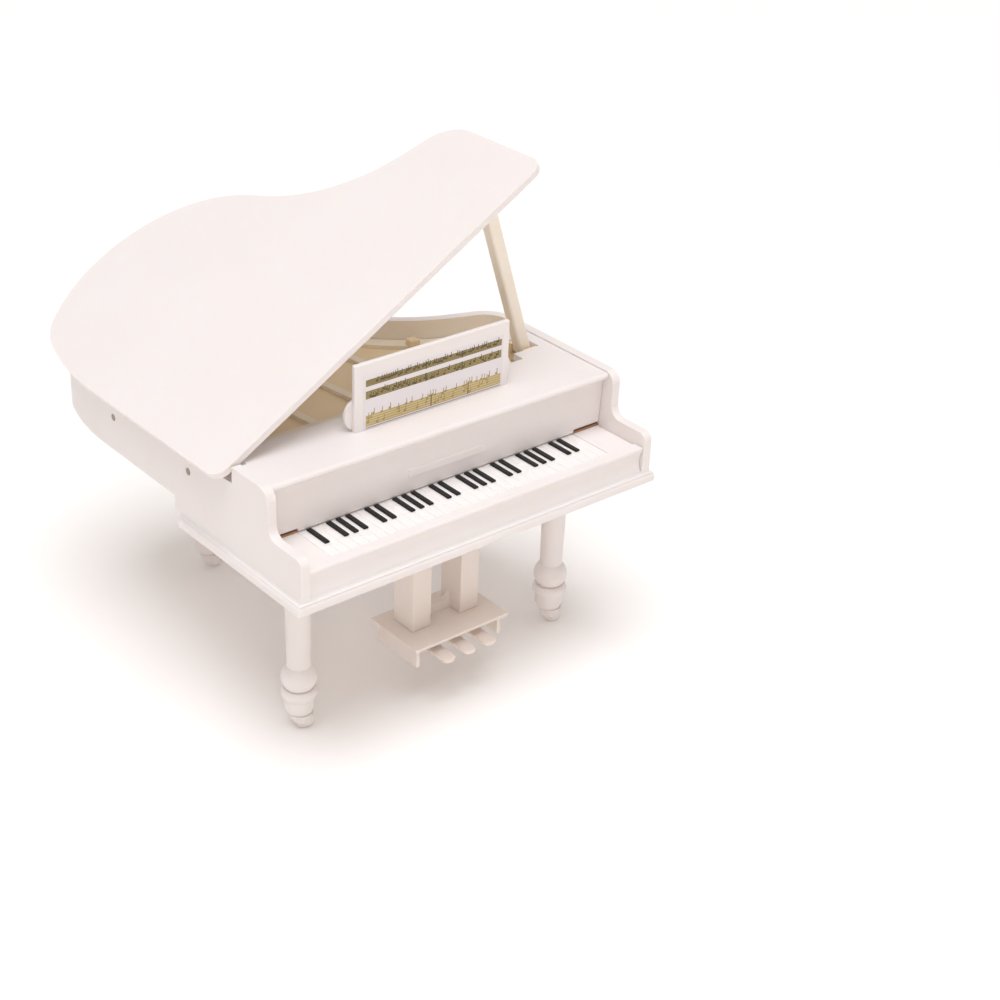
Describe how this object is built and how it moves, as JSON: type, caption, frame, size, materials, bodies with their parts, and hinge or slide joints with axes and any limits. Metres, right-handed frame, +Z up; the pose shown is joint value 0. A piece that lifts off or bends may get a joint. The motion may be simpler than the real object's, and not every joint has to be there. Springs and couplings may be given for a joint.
{
  "type": "miniature grand piano",
  "caption": "Dolls' house grand piano in ivory plastic with a hinged lid on a folding prop, turned legs, pedal lyre, keyboard and upright music desk.",
  "frame": {"origin": "on the surface that the piano stands on, under the middle of its box with the lid on its prop", "axes": "+X to the treble side, +Y to the tail, +Z up"},
  "size_m": [0.128, 0.1412, 0.1455],
  "materials": {
    "ivory_plastic": "satin moulded ivory-white plastic",
    "black_enamel": "gloss black paint",
    "gold_plastic": "satin golden-tan moulded plastic",
    "printed_paper": "printed paper sticker",
    "steel": "plain steel pins and screws"
  },
  "bodies": {
    "case": {"case_rim": "ivory_plastic", "plinth": "ivory_plastic", "key_slip": "ivory_plastic", "key_frame": "gold_plastic", "belly_rail": "ivory_plastic", "white_keys": "ivory_plastic", "black_keys": "black_enamel", "key_block_left": "ivory_plastic", "key_block_right": "ivory_plastic", "fallboard": "ivory_plastic", "top_deck": "ivory_plastic", "music_desk": "ivory_plastic", "music_sheet": "printed_paper", "case_floor": "ivory_plastic", "soundboard": "gold_plastic", "harp_plate": "gold_plastic", "plate_stud": "gold_plastic", "hinge_bracket_front": "ivory_plastic", "hinge_pin_front": "steel", "hinge_bracket_rear": "ivory_plastic", "hinge_pin_rear": "steel", "hinge_screws": "steel", "prop_post": "gold_plastic", "prop_pin": "steel", "leg_front_left": "ivory_plastic", "leg_front_right": "ivory_plastic", "leg_rear": "ivory_plastic", "lyre_box": "ivory_plastic", "lyre_column_left": "ivory_plastic", "lyre_column_right": "ivory_plastic", "lyre_web": "ivory_plastic", "pedal_left": "ivory_plastic", "pedal_middle": "ivory_plastic", "pedal_right": "ivory_plastic"},
    "lid": {"lid": "ivory_plastic"},
    "prop": {"lid_prop": "ivory_plastic"}
  },
  "joints": [
    {"name": "lid_hinge", "type": "hinge", "parent": "case", "child": "lid", "pos_m": [-0.0541, 0.00257, 0.0784], "axis": [0, -1, 0], "range_deg": [0, 59]},
    {"name": "prop_fold", "type": "hinge", "parent": "case", "child": "prop", "pos_m": [0.053, -0.02263, 0.0812], "axis": [0, -0.9833, -0.1822], "range_deg": [0, 65.5]}
  ]
}
